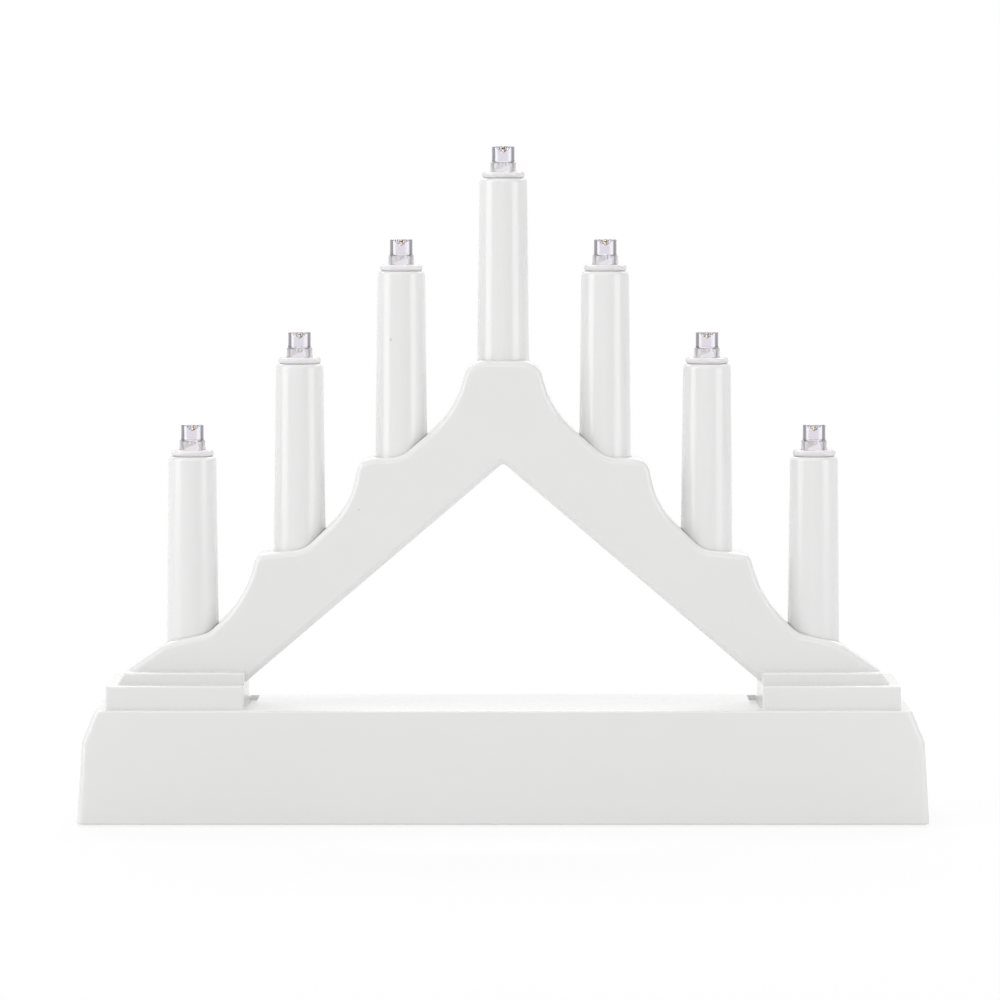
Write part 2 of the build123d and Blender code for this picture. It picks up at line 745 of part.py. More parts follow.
# ----------------------------------------------------------------------------
# Arch, moulded in two halves that meet on its middle plane
# ----------------------------------------------------------------------------
def arch_outline():
    """Corner points of the arch's front view, clockwise from the top, and the radius of the arc at each."""
    right_side = [
        (seat_x[0] + top_shoulder, seat_z[0], top_shoulder_reach),
        (seat_x[0] + top_shoulder + top_knee_run, seat_z[0] - top_knee_drop, top_knee_reach),
        (seat_x[1] - high_toe_inset, seat_z[1] - high_toe_sink, toe_reach),
        (seat_x[1] + high_shoulder, seat_z[1] - high_shoulder_fall, high_shoulder_reach),
        (seat_x[1] + high_shoulder + high_knee_run, seat_z[1] - high_knee_drop, high_knee_reach),
        (seat_x[2] - middle_toe_inset, seat_z[2] - middle_toe_sink, toe_reach),
        (seat_x[2] + middle_shoulder, seat_z[2] - middle_shoulder_fall, middle_shoulder_reach),
        (seat_x[2] + middle_shoulder + middle_knee_run, seat_z[2] - middle_knee_drop, middle_knee_reach),
        (seat_x[3] - low_toe_inset, seat_z[3] + low_toe_rise, low_toe_reach),
        (seat_x[3] + low_shoulder, seat_z[3] - low_shoulder_fall, low_shoulder_reach),
        (upper_step_top_x, upper_step_top_z, 0),
        (upper_step_top_x, base_top_z, 0),
        (foot_inner_x, base_top_z, 0),
        (foot_inner_x, lower_step_top_z, 0),
    ]
    left_side = [(-x, z, reach) for x, z, reach in reversed(right_side)]
    outline = right_side + [(0, apex_z, triangle_apex_reach)] + left_side
    points = [(x, z) for x, z, reach in outline]
    radii = []
    for index, (x, z, reach) in enumerate(outline):
        before = points[index - 1]
        after = points[(index + 1) % len(points)]
        turn = math.atan2(after[1] - z, after[0] - x) - math.atan2(z - before[1], x - before[0])
        radii.append(reach / abs(math.tan(turn / 2)) if reach else 0)
    return points, radii


def front_slab(points, radii, depth, edge_radius):
    """A slab from the arch's middle plane to the front, with rounded front edges and a chamfered seam."""
    with BuildPart() as slab:
        with BuildSketch(arch_plane):
            with BuildLine():
                FilletPolyline(*points, radius=radii, close=True)
            make_face()
        extrude(amount=depth)
        # An edge that stands on the base stays sharp, so no groove shows there
        front_edges = slab.faces().sort_by(Axis.Y)[0].edges()
        fillet(front_edges.filter_by(lambda edge: edge.center().Z > base_top_z), radius=edge_radius)
        chamfer(slab.faces().sort_by(Axis.Y)[-1].edges(), length=seam_chamfer)
    return slab


arch_points, arch_radii = arch_outline()
arch_slab = front_slab(arch_points, arch_radii, half_arch, arch_edge_radius)


def foot_slab(points, depth, side):
    """One step of a foot, on the right (side = 1) or the left (side = -1)."""
    placed = [(side * x, z) for x, z in points]
    return front_slab(placed, [0] * len(placed), depth, step_edge_radius)


lower_step_points = [
    (foot_inner_x, base_top_z),
    (foot_outer_x, base_top_z),
    (foot_outer_x, lower_step_top_z),
    (foot_inner_x, lower_step_top_z),
]
upper_step_points = [
    (foot_inner_x, base_top_z),
    (upper_step_bottom_x, base_top_z),
    (upper_step_bottom_x, lower_step_top_z),
    (upper_step_top_x, upper_step_top_z),
    (foot_inner_x, upper_step_top_z),
]
foot_slabs = [foot_slab(lower_step_points, lower_step_depth / 2, side) for side in (-1, 1)]
foot_slabs += [foot_slab(upper_step_points, upper_step_depth / 2, side) for side in (-1, 1)]

socket_depth = candle_spigot_length + socket_gap
socket_radius = candle_spigot_diameter / 2 + socket_gap
pocket_radius = candle_bottom_diameter / 2 + socket_gap
column_bottom = socket_depth + socket_floor  # below the pocket's floor

# Pegs stand between neighbouring candles, above the wires' line, and one in each foot
peg_x = [(seat_x[step] + seat_x[step + 1]) / 2 for step in range(3)]
peg_places = [(side * x, wire_line_z(x) + leg_peg_height) for x in peg_x for side in (-1, 1)]

with BuildPart() as arch_cavity:
    with BuildSketch(arch_plane):
        with BuildLine():
            FilletPolyline(*arch_points, radius=arch_radii, close=True)
        make_face()
        offset(amount=-arch_wall, kind=Kind.INTERSECTION)
    extrude(amount=half_arch - arch_wall)
    # Columns of solid plastic stay round each candle's socket
    for x, z in candle_seats:
        with Locations((x, arch_y, z - column_bottom)):
            Cylinder(
                socket_radius + socket_wall,
                column_bottom,
                align=(Align.CENTER, Align.CENTER, Align.MIN),
                mode=Mode.SUBTRACT,
            )
        with Locations((x, arch_y, z - socket_floor)):
            Cylinder(
                pocket_radius + socket_wall,
                candle_drop / 2 + socket_floor,
                align=(Align.CENTER, Align.CENTER, Align.MIN),
                mode=Mode.SUBTRACT,
            )
    with BuildSketch(arch_plane):
        with Locations(*peg_places):
            Circle(peg_boss_radius)
    extrude(amount=half_arch, mode=Mode.SUBTRACT)

plug_bottom_z = base_top_z - plug_length
with BuildPart() as arch_half:
    add(arch_slab.part)
    for slab in foot_slabs:
        add(slab.part)
    for side in (-1, 1):
        # Hollow under the lower step, in front of the arch's own thickness
        hollow_front = lower_step_depth / 2 - arch_wall
        with BuildSketch(Plane.XY.offset(base_top_z)):
            with Locations(
                (side * (foot_inner_x + foot_outer_x) / 2, arch_y - (hollow_front + half_arch) / 2)
            ):
                Rectangle(foot_outer_x - foot_inner_x - 2 * arch_wall, hollow_front - half_arch)
        extrude(amount=lower_step_height - arch_wall, mode=Mode.SUBTRACT)
        # Plug
        with BuildSketch(Plane.XY.offset(plug_bottom_z)):
            with Locations((side * (plug_inner_x + plug_outer_x) / 2, arch_y - plug_depth / 4)):
                Rectangle(plug_outer_x - plug_inner_x, plug_depth / 2)
        extrude(amount=plug_length)
        # Snap tongue with a barb that catches under the floor of the slot
        with BuildSketch(arch_plane):
            with BuildLine():
                barb_z = base_ceiling_z - tongue_barb_gap
                Polyline(
                    (side * tongue_outer_x, base_top_z),
                    (side * tongue_outer_x, plug_bottom_z),
                    (side * tongue_inner_x, plug_bottom_z),
                    (side * tongue_inner_x, barb_z - tongue_barb_height),
                    (side * (tongue_inner_x - tongue_barb), barb_z - tongue_barb_height / 3),
                    (side * (tongue_inner_x - tongue_barb), barb_z),
                    (side * tongue_inner_x, barb_z),
                    (side * tongue_inner_x, base_top_z),
                    close=True,
                )
            make_face()
        extrude(amount=tongue_reach)
    add(arch_cavity.part, mode=Mode.SUBTRACT)
    # Channel through the plug for the wires
    for side in (-1, 1):
        with BuildSketch(Plane.XY.offset(plug_bottom_z)):
            with Locations((side * (plug_inner_x + plug_outer_x) / 2, arch_y)):
                Rectangle(plug_outer_x - plug_inner_x - 2 * plug_wall, plug_depth - 2 * plug_wall)
        extrude(amount=plug_length + 2 * arch_wall, mode=Mode.SUBTRACT)
    for x, z in candle_seats:
        with Locations((x, arch_y, z)):
            Cylinder(
                pocket_radius,
                candle_drop / 2,
                align=(Align.CENTER, Align.CENTER, Align.MIN),
                mode=Mode.SUBTRACT,
            )
        with Locations((x, arch_y, z - socket_depth)):
            Cylinder(
                socket_radius,
                socket_depth,
                align=(Align.CENTER, Align.CENTER, Align.MIN),
                mode=Mode.SUBTRACT,
            )
        with Locations((x, arch_y, z - column_bottom)):
            Cylinder(
                socket_wire_hole_diameter / 2,
                column_bottom,
                align=(Align.CENTER, Align.CENTER, Align.MIN),
                mode=Mode.SUBTRACT,
            )

with BuildPart() as arch_front_shell:
    add(arch_half.part)
    with BuildSketch(arch_plane):
        with Locations(*peg_places):
            Circle(peg_diameter / 2)
    extrude(amount=-peg_length)

with BuildPart() as arch_rear_shell:
    mirror(arch_half.part, about=arch_plane)
    with BuildSketch(arch_plane):
        with Locations(*peg_places):
            Circle(peg_diameter / 2 + peg_gap)
    extrude(amount=-(peg_length + peg_depth_gap), mode=Mode.SUBTRACT)


# ----------------------------------------------------------------------------
# Candles
# ----------------------------------------------------------------------------
def candle_tube(x, z):
    """A hollow candle whose shoulder stands on a pocket's floor at z, with a spigot below it."""
    top_radius = candle_top_diameter / 2
    with BuildPart() as tube:
        with BuildSketch(Plane.XZ):
            with BuildLine():
                Polyline(
                    (candle_bore_diameter / 2, -candle_spigot_length),
                    (candle_spigot_diameter / 2, -candle_spigot_length),
                    (candle_spigot_diameter / 2, 0),
                    (candle_bottom_diameter / 2, 0),
                    (top_radius, candle_length - candle_rim_radius),
                )
                Line((candle_bore_diameter / 2, candle_length), (candle_bore_diameter / 2, -candle_spigot_length))
                Line((top_radius - candle_rim_radius, candle_length), (candle_bore_diameter / 2, candle_length))
                RadiusArc(
                    (top_radius, candle_length - candle_rim_radius),
                    (top_radius - candle_rim_radius, candle_length),
                    -candle_rim_radius,
                )
            make_face()
        revolve(axis=Axis.Z)
    return tube.part.moved(Location((x, arch_y, z)))


def led_collar(x, z):
    """The clear collar on a candle's mouth: a rounded flange above a bored spigot."""
    with BuildPart() as collar:
        with BuildSketch():
            Circle(collar_diameter / 2)
        extrude(amount=collar_height)
        fillet(collar.edges(), radius=collar_edge_radius)
        with BuildSketch():
            Circle(candle_bore_diameter / 2 - collar_spigot_gap)
        extrude(amount=-collar_spigot_length)
        with BuildSketch(Plane.XY.offset(collar_height)):
            Circle(collar_bore_diameter / 2)
        extrude(amount=-(collar_height + collar_spigot_length), mode=Mode.SUBTRACT)
    return collar.part.moved(Location((x, arch_y, z + candle_length)))


half_lead = lead_thickness / 2
# The drop of phosphor gel that covers the die and fills the cup's bowl
with BuildPart() as led_chip:
    with Locations((cup_offset, 0, frame_top - bowl_depth)):
        Cone(
            bowl_bottom_diameter / 2,
            bowl_top_diameter / 2,
            bowl_depth,
            align=(Align.CENTER, Align.CENTER, Align.MIN),
        )

with BuildPart() as lead_frame:
    with BuildSketch(Plane.XZ):
        with BuildLine():
            Polyline(
                (-lead_pitch / 2 - half_lead, -lead_length),
                (-lead_pitch / 2 + half_lead, -lead_length),
                (-lead_pitch / 2 + half_lead, anvil_root),
                (anvil_end, anvil_underside),
                (anvil_end, frame_top),
                (-lead_pitch / 2 - half_lead, frame_top),
                close=True,
            )
        make_face()
        with BuildLine():
            Polyline(
                (lead_pitch / 2 - half_lead, -lead_length),
                (lead_pitch / 2 + half_lead, -lead_length),
                (lead_pitch / 2 + half_lead, frame_top),
                (post_inner, frame_top),
                (post_inner, post_underside),
                (lead_pitch / 2 - half_lead, post_root),
                close=True,
            )
        make_face()
    extrude(amount=half_lead, both=True)
    # Reflector cup on the anvil
    with Locations((cup_offset, 0, frame_top - cup_height)):
        Cylinder(cup_diameter / 2, cup_height, align=(Align.CENTER, Align.CENTER, Align.MIN))
    add(led_chip.part, mode=Mode.SUBTRACT)

with BuildPart() as led_body:
    with BuildSketch(Plane.XZ):
        with BuildLine():
            Polyline(
                (led_diameter / 2, led_height - led_edge_radius),
                (led_diameter / 2, led_foot_height + led_foot_slope),
                (led_foot_diameter / 2, led_foot_height - led_foot_slope),
                (led_foot_diameter / 2, 0),
                (0, 0),
                (0, led_height - led_cone_depth),
                (led_cone_diameter / 2, led_height),
                (led_diameter / 2 - led_edge_radius, led_height),
            )
            RadiusArc(
                (led_diameter / 2 - led_edge_radius, led_height),
                (led_diameter / 2, led_height - led_edge_radius),
                led_edge_radius,
            )
        make_face()
    revolve(axis=Axis.Z)
    add(lead_frame.part, mode=Mode.SUBTRACT)
    add(led_chip.part, mode=Mode.SUBTRACT)


# ----------------------------------------------------------------------------
# Wiring
# ----------------------------------------------------------------------------
def round_wire(points, radii):
    """A wire along straight runs joined by tangent arcs."""
    with BuildPart() as wire:
        with BuildLine() as route:
            FilletPolyline(*points, radius=radii)
        with BuildSketch(Plane(origin=route.line @ 0, z_dir=route.line % 0)):
            Circle(wire_diameter / 2)
        sweep(path=route.line)
    return wire


def wire_loom(lane, lead_side):
    """One pole's wiring: a run from the board up the right foot and over the arch, with a drop to each LED.

    lane is the run's distance behind the arch's middle plane, and lead_side is the side of its leads.
    """
    y = arch_y + lane
    far_x = -seat_x[3]
    run_z = board_z + wire_run_height
    landing_x = board_outer_x - wire_board_inset
    trunk = round_wire(
        [
            (landing_x, y, board_top_z),
            (landing_x, y, run_z),
            (wire_riser_x, y, run_z),
            (wire_riser_x, y, wire_line_z(wire_riser_x)),
            (0, y, wire_line_z(0)),
            (far_x, y, wire_line_z(far_x)),
        ],
        [wire_board_bend_radius, wire_bend_radius, wire_bend_radius, wire_bend_radius],
    )
    drops = []
    for x, z in candle_seats:
        lead_end = z + collar_top_rise - lead_length
        lead_x = x + lead_side * lead_pitch / 2
        drops.append(
            round_wire(
                [
                    (lead_x, arch_y, lead_end),
                    (lead_x, arch_y, lead_end - lead_straight),
                    (x, y, lead_end - lead_straight - lead_merge),
                    (x, y, wire_joint_z(x)),
                ],
                [lead_bend_radius, lead_bend_radius],
            )
        )
    with BuildPart() as loom:
        add(trunk.part)
        for x, z in candle_seats:
            with Locations((x, y, wire_joint_z(x))):
                Sphere(joint_diameter / 2)
        for drop in drops:
            add(drop.part)
    return loom


wire_lane = lead_pitch / 2
positive_wire = wire_loom(-wire_lane, 1)
negative_wire = wire_loom(wire_lane, -1)

cell_wires = []
for wire_y in (-cell_half_pitch, cell_half_pitch):
    wire_z = tray_top_z + contact_tab_rise / 2
    wire_turn_x = tray_half_length + cell_wire_run
    cell_wires.append(
        round_wire(
            [
                (tray_half_length, wire_y, wire_z),
                (wire_turn_x, wire_y, wire_z),
                (wire_turn_x, wire_y, board_top_z),
            ],
            [cell_wire_bend_radius],
        )
    )
with BuildPart() as battery_wires:
    for cell_wire in cell_wires:
        add(cell_wire.part)

# ----------------------------------------------------------------------------
# Names and files
# ----------------------------------------------------------------------------
pieces = {
    "base_housing": base_housing.part,
    "bottom_plate": bottom_plate.part,
    "battery_door": battery_door.part,
    "foot_pads": foot_pads.part,
    "plate_screws": plate_screws.part,
    "door_screws": door_screws.part,
    "board_screws": board_screws.part,
    "battery_front": battery_front.part,
    "battery_rear": battery_rear.part,
    "positive_contact": positive_contact.part,
    "negative_contact": negative_contact.part,
    "bridge_contact": bridge_contact.part,
    "circuit_board": circuit_board.part,
    "board_parts": board_parts.part,
    "switch_body": switch_body.part,
    "switch_knob": switch_knob.part,
    "arch_front_shell": arch_front_shell.part,
    "arch_rear_shell": arch_rear_shell.part,
    "positive_wire": positive_wire.part,
    "negative_wire": negative_wire.part,
    "battery_wires": battery_wires.part,
}
for number, (x, z) in enumerate(candle_seats, start=1):
    led_place = Location((x, arch_y, z + collar_top_rise))
    pieces[f"candle_tube_{number}"] = candle_tube(x, z)
    pieces[f"led_collar_{number}"] = led_collar(x, z)
    pieces[f"led_{number}"] = led_body.part.moved(led_place)
    pieces[f"led_leads_{number}"] = lead_frame.part.moved(led_place)
    pieces[f"led_chip_{number}"] = led_chip.part.moved(led_place)

for name, piece in pieces.items():
    piece.label = name
    export_step(piece, f"parts/{name}.step")
print(len(pieces), "pieces written")
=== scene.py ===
"""Looks of the battery candle arch: glossy white mouldings and seven candles.

Each candle has a clear LED in a clear collar at its top.
"""
import math

import bmesh
import bpy
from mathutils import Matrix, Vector


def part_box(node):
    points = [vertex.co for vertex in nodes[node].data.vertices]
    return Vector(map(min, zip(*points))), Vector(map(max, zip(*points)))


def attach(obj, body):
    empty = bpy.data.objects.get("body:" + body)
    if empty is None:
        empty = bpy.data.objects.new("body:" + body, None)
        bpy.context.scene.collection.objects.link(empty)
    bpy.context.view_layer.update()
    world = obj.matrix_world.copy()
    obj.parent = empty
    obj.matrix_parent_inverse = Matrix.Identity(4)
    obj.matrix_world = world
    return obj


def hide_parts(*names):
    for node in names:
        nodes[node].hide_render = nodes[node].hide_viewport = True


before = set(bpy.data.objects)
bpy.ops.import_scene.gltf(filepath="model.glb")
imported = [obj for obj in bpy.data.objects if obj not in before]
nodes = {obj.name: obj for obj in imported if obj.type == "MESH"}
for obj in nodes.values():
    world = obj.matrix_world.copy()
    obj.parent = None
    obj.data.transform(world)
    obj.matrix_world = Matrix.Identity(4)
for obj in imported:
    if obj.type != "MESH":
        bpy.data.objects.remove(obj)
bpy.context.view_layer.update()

MM = 0.001
CANDLE_COUNT = 7


# ----------------------------------------------------------------------------
# Materials as expressions
# ----------------------------------------------------------------------------
# Sockets of the Mix node that have colours
MIX_FACTOR = 0
MIX_FIRST_COLOUR = 6
MIX_SECOND_COLOUR = 7
MIX_RESULT_COLOUR = 2


class Field:
    """A number, colour or vector that varies over a surface."""

    def __init__(self, finish, socket):
        self.finish = finish
        self.socket = socket

    def maths(self, operation, first, second):
        return self.finish.node("ShaderNodeMath", {"operation": operation}, {0: first, 1: second})

    def __add__(self, other):
        return self.maths("ADD", self, other)

    __radd__ = __add__

    def __rsub__(self, other):
        return self.maths("SUBTRACT", other, self)

    def __mul__(self, other):
        return self.maths("MULTIPLY", self, other)

    def __lt__(self, other):
        return self.maths("LESS_THAN", self, other)

    def __gt__(self, other):
        return self.maths("GREATER_THAN", self, other)


class Finish:
    """A material with one surface shader. Fields for it are made by its methods."""

    def __init__(self, name):
        self.material = bpy.data.materials.new(name)
        self.material.use_nodes = True
        self.tree = self.material.node_tree
        self.tree.nodes.clear()
        self.output = self.tree.nodes.new("ShaderNodeOutputMaterial")

    def node(self, kind, settings=None, inputs=None, output=0):
        made = self.tree.nodes.new(kind)
        for name, value in (settings or {}).items():
            if name == "stops":
                self.set_stops(made.color_ramp, value)
            else:
                setattr(made, name, value)
        for name, value in (inputs or {}).items():
            if isinstance(value, Field):
                self.tree.links.new(value.socket, made.inputs[name])
            else:
                made.inputs[name].default_value = value
        return Field(self, made.outputs[output])

    @staticmethod
    def set_stops(ramp, stops):
        for index, (place, colour) in enumerate(stops):
            stop = ramp.elements[index] if index < len(ramp.elements) else ramp.elements.new(place)
            stop.position = place
            stop.color = colour

    def place(self, fineness=(1, 1, 1)):
        """Object coordinates in metres. A pattern on them is finer along each axis by its factor."""
        coordinates = self.node("ShaderNodeTexCoord", output="Object")
        return self.node(
            "ShaderNodeMapping",
            {"vector_type": "POINT"},
            {"Vector": coordinates, "Scale": fineness},
        )

    def noise(self, scale, detail, roughness=0.5, fineness=(1, 1, 1)):
        """Clouds from 0 to 1, with scale in blobs per metre."""
        return self.node(
            "ShaderNodeTexNoise",
            {"noise_dimensions": "3D"},
            {"Vector": self.place(fineness), "Scale": scale, "Detail": detail, "Roughness": roughness},
        )

    def specks(self, scale, radius, share):
        """1 on round specks of a radius in cells, in a share of the cells, and 0 elsewhere."""
        cell = {"Vector": self.place(), "Scale": scale}
        near = self.node("ShaderNodeTexVoronoi", {"feature": "F1"}, cell, "Distance") < radius
        colour = self.node("ShaderNodeTexVoronoi", {"feature": "F1"}, cell, "Color")
        pick = self.node("ShaderNodeSeparateColor", inputs={"Color": colour}) < share
        return near * pick

    def mix(self, factor, first, second):
        """The first colour where factor is 0, the second where it is 1."""
        return self.node(
            "ShaderNodeMix",
            {"data_type": "RGBA"},
            {MIX_FACTOR: factor, MIX_FIRST_COLOUR: first, MIX_SECOND_COLOUR: second},
            MIX_RESULT_COLOUR,
        )

    def ramp(self, factor, stops):
        return self.node("ShaderNodeValToRGB", {"stops": stops}, {"Fac": factor}, "Color")

    def facing(self):
        """0 where the surface faces the eye, growing to 1 where it is seen edge-on."""
        return self.node("ShaderNodeLayerWeight", inputs={"Blend": 0.5}, output="Facing")

    def bump(self, height, distance, strength, under=None):
        inputs = {"Height": height, "Distance": distance, "Strength": strength}
        if under is not None:
            inputs["Normal"] = under
        return self.node("ShaderNodeBump", inputs=inputs)

    def surface(self, **inputs):
        """The Principled shader; an input's name has underscores for spaces."""
        named = {name.replace("_", " "): value for name, value in inputs.items()}
        shader = self.node("ShaderNodeBsdfPrincipled", inputs=named, output="BSDF")
        self.tree.links.new(shader.socket, self.output.inputs["Surface"])
        return self.material


def grey(value):
    return (value, value, value, 1)


def moulded_plastic(name, colour, shade, streaks):
    """Glossy moulded plastic: faint clouds and flow streaks, rare specks and a slightly wavy skin."""
    finish = Finish(name)
    clouds = finish.noise(scale=38, detail=2)
    flow = finish.noise(scale=60, detail=2, fineness=streaks)
    specks = finish.specks(scale=160, radius=0.055, share=0.10)
    speck_colour = (0.46, 0.45, 0.43, 1)
    body = finish.mix(clouds * 0.5 + flow * 0.5, colour, shade)
    body = finish.mix(specks * 0.55, body, speck_colour)
    skin = finish.noise(scale=900, detail=3)
    waves = finish.noise(scale=85, detail=1)
    normal = finish.bump(waves, distance=0.12 * MM, strength=0.5)
    normal = finish.bump(skin, distance=0.006 * MM, strength=0.5, under=normal)
    return finish.surface(
        Base_Color=body,
        Roughness=0.2 + skin * 0.07 + specks * 0.2,
        IOR=1.52,
        Coat_Weight=0.35,
        Coat_Roughness=0.08,
        Normal=normal,
    )


def lamp_resin(name):
    """Clear cast resin. Painted reflections: a colour by viewing angle gives its upright wall grey bands
    beside bright ones.
    """
    finish = Finish(name)
    ripple = finish.noise(scale=700, detail=2)
    wall = finish.node("ShaderNodeAttribute", {"attribute_name": "wall"}, output="Fac")
    clear = (0.97, 0.96, 0.985, 1)
    # Painted reflections: the wall's dark and light bands stand in for the dark and bright surroundings that
    # it reflects.
    painted_light_band = (0.93, 0.915, 0.945, 1)
    painted_dark_band = (0.05, 0.042, 0.06, 1)
    painted_reflection_bands = finish.ramp(
        finish.facing(),
        [
            (0.0, (0.71, 0.675, 0.755, 1)),
            (0.12, (0.74, 0.705, 0.785, 1)),
            (0.20, painted_light_band),
            (0.25, painted_light_band),
            (0.32, painted_dark_band),
            (0.66, painted_dark_band),
            (0.78, (0.74, 0.72, 0.77, 1)),
        ],
    )
    return finish.surface(
        Base_Color=finish.mix(wall, clear, painted_reflection_bands),
        Roughness=0.01 + ripple * 0.02,
        IOR=1.53,
        Transmission_Weight=1.0,
        Normal=finish.bump(ripple, distance=0.02 * MM, strength=0.3),
    )


def milky_plastic(name, colour, edge, milk):
    """Clear plastic that is milky by a share, and has its edge colour where it is seen edge-on."""
    finish = Finish(name)
    ripple = finish.noise(scale=700, detail=2)
    scuff = finish.noise(scale=2600, detail=3, roughness=0.6)
    rim = finish.ramp(finish.facing(), [(0.45, grey(0)), (0.85, grey(1))])
    return finish.surface(
        Base_Color=finish.mix(rim, colour, edge),
        Roughness=0.12 + scuff * 0.08,
        IOR=1.49,
        Transmission_Weight=1.0 - milk,
        Subsurface_Weight=1.0,
        Subsurface_Radius=(1.0, 1.0, 1.0),
        Subsurface_Scale=2.0 * MM,
        Normal=finish.bump(ripple, distance=0.03 * MM, strength=0.5),
    )


def metal(name, colour, tarnish, roughness, scratches=(1, 1, 1)):
    """Plated or tinned metal with faint tarnish and drawn scratches."""
    finish = Finish(name)
    stain = finish.noise(scale=420, detail=3, roughness=0.6)
    lines = finish.noise(scale=2400, detail=3, fineness=scratches)
    return finish.surface(
        Base_Color=finish.mix(stain, colour, tarnish),
        Metallic=1.0,
        Roughness=roughness + lines * 0.18,
        Normal=finish.bump(lines, distance=0.015 * MM, strength=0.6),
    )


def soft_plastic(name, colour, shade, roughness, grain=1500, glow=0.0):
    """Matt plastic, gel or rubber with a fine grain, and a painted glow in its own colour, as strong as
    glow.
    """
    finish = Finish(name)
    patches = finish.noise(scale=120, detail=3)
    pores = finish.noise(scale=grain, detail=2)
    return finish.surface(
        Base_Color=finish.mix(patches, colour, shade),
        Roughness=roughness + pores * 0.12,
        Emission_Color=colour,
        Emission_Strength=glow,
        Normal=finish.bump(pores, distance=0.04 * MM, strength=0.6),
    )


def cell_jacket(name, toward):
    """A printed battery jacket: a bright band at its positive end, with the bare can past its edges.

    toward is 1 where the positive end is the one with the larger X, and -1 where it is the other one.
    """
    jacket_start = 1.7 * MM
    band_end = 14 * MM
    stripe_end = 15 * MM
    bare_base = 0.5 * MM
    dark_blue = (0.012, 0.022, 0.045, 1)
    copper = (0.56, 0.30, 0.10, 1)
    white = (0.75, 0.75, 0.74, 1)
    bare_metal = (0.66, 0.65, 0.63, 1)
    finish = Finish(name)
    low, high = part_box(name)
    along = finish.node("ShaderNodeSeparateXYZ", inputs={0: finish.place()})
    nub_end = high.x if toward > 0 else low.x
    depth = (nub_end - along) * toward  # metres from the tip of the nub
    can = (depth < jacket_start) + (depth > (high.x - low.x) - bare_base)
    band = (depth < band_end) * (depth > jacket_start)
    stripe = (depth < stripe_end) * (depth > band_end)
    grain = finish.noise(scale=1500, detail=2)
    colour = finish.mix(band, dark_blue, copper)
    colour = finish.mix(stripe, colour, white)
    colour = finish.mix(can, colour, bare_metal)
    return finish.surface(
        Base_Color=colour,
        Metallic=can,
        Roughness=0.26 + grain * 0.08,
        Coat_Weight=0.3,
        Normal=finish.bump(grain, distance=0.01 * MM, strength=0.5),
    )


def solder_mask():
    """Green board with faint copper tracks showing through the mask."""
    finish = Finish("green circuit board")
    tracks = finish.node(
        "ShaderNodeTexBrick",
        {"offset": 0.5},
        {
            "Vector": finish.place(),
            "Scale": 420.0,
            "Mortar Size": 0.06,
            "Color1": grey(0),
            "Color2": grey(0),
            "Mortar": grey(1),
        },
        "Fac",
    )
    mask = (0.010, 0.085, 0.032, 1)
    masked_track = (0.035, 0.17, 0.06, 1)
    grain = finish.noise(scale=900, detail=2)
    return finish.surface(
        Base_Color=finish.mix(tracks, mask, masked_track),
        Roughness=0.3 + grain * 0.12,
        Normal=finish.bump(tracks, distance=0.03 * MM, strength=0.6),
    )


# ----------------------------------------------------------------------------
# Finishes of this lamp
# ----------------------------------------------------------------------------
white_housing = moulded_plastic(
    "white housing plastic", (0.79, 0.79, 0.785, 1), (0.765, 0.765, 0.76, 1), streaks=(0.25, 1, 2)
)
white_candle = moulded_plastic(
    "white candle plastic", (0.80, 0.80, 0.797, 1), (0.78, 0.78, 0.775, 1), streaks=(2, 2, 0.2)
)
clear_collar = milky_plastic(
    "clear collar plastic", (0.90, 0.865, 0.875, 1), (0.84, 0.76, 0.78, 1), milk=0.85
)
clear_resin = lamp_resin("clear lamp resin")
tinned_lead = metal(
    "tinned lead", (0.84, 0.83, 0.81, 1), (0.66, 0.65, 0.63, 1), roughness=0.3, scratches=(4, 4, 0.3)
)
zinc_screw = metal("zinc plated screw", (0.62, 0.62, 0.63, 1), (0.48, 0.47, 0.45, 1), roughness=0.3)
nickel_contact = metal(
    "nickel plated spring steel",
    (0.72, 0.70, 0.66, 1),
    (0.60, 0.57, 0.52, 1),
    roughness=0.25,
    scratches=(1, 6, 1),
)
switch_tin = metal(
    "stamped switch frame",
    (0.60, 0.60, 0.60, 1),
    (0.50, 0.50, 0.49, 1),
    roughness=0.35,
    scratches=(0.4, 4, 4),
)
# Painted light: the phosphor's glow stands in for the light it gets inside the lens, and shows as a yellow
# glint in the cone.
phosphor_gel = soft_plastic(
    "yellow phosphor gel", (0.88, 0.70, 0.32, 1), (0.80, 0.60, 0.24, 1), roughness=0.35, grain=5000, glow=0.6
)
pad_rubber = soft_plastic(
    "foot pad rubber", (0.030, 0.030, 0.031, 1), (0.045, 0.044, 0.043, 1), roughness=0.7
)
chip_black = soft_plastic(
    "component black", (0.018, 0.018, 0.019, 1), (0.03, 0.03, 0.03, 1), roughness=0.5, grain=2400
)
knob_black = soft_plastic(
    "switch knob black", (0.025, 0.025, 0.026, 1), (0.035, 0.035, 0.035, 1), roughness=0.38, grain=1800
)
wire_red = soft_plastic(
    "red wire jacket", (0.42, 0.012, 0.010, 1), (0.34, 0.010, 0.008, 1), roughness=0.36, grain=1200
)
wire_black = soft_plastic(
    "black wire jacket", (0.014, 0.014, 0.015, 1), (0.026, 0.026, 0.026, 1), roughness=0.36, grain=1200
)
board_green = solder_mask()

